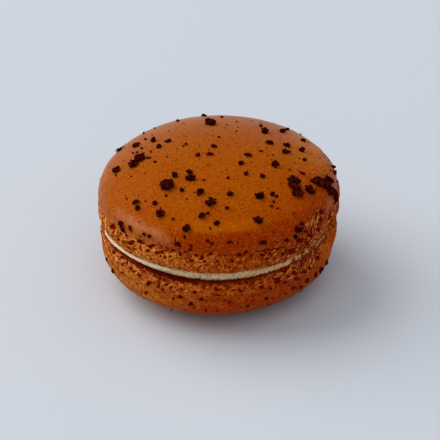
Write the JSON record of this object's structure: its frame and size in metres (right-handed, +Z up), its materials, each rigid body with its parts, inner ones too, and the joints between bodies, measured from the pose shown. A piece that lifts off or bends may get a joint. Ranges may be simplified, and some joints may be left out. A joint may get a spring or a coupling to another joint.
{
  "type": "cookie butter macaron",
  "caption": "Round filled macaron: domed almond shells with craggy feet and baked-on dark biscuit crumbs, joined by a thin layer of pale cream.",
  "frame": {"origin": "middle of the flat spot under the lower shell that the macaron rests on", "axes": "+Z up through the crowns of both shells, -Y towards the viewer of the picture, +X to the viewer's right"},
  "size_m": [0.0456, 0.0457, 0.0269],
  "materials": {
    "baked_shell": "baked caramel-brown almond crust: smooth with a soft sheen on the crown, matte, craggy and porous on the foot",
    "pale_cream": "pale cream-coloured butter filling, matte and slightly rough at the rim",
    "dark_crumb": "very dark brown biscuit crumbs, dry and matte with a faint glint"
  },
  "bodies": {
    "root": {"top_shell": "baked_shell", "bottom_shell": "baked_shell", "filling": "pale_cream"}
  },
  "joints": []
}
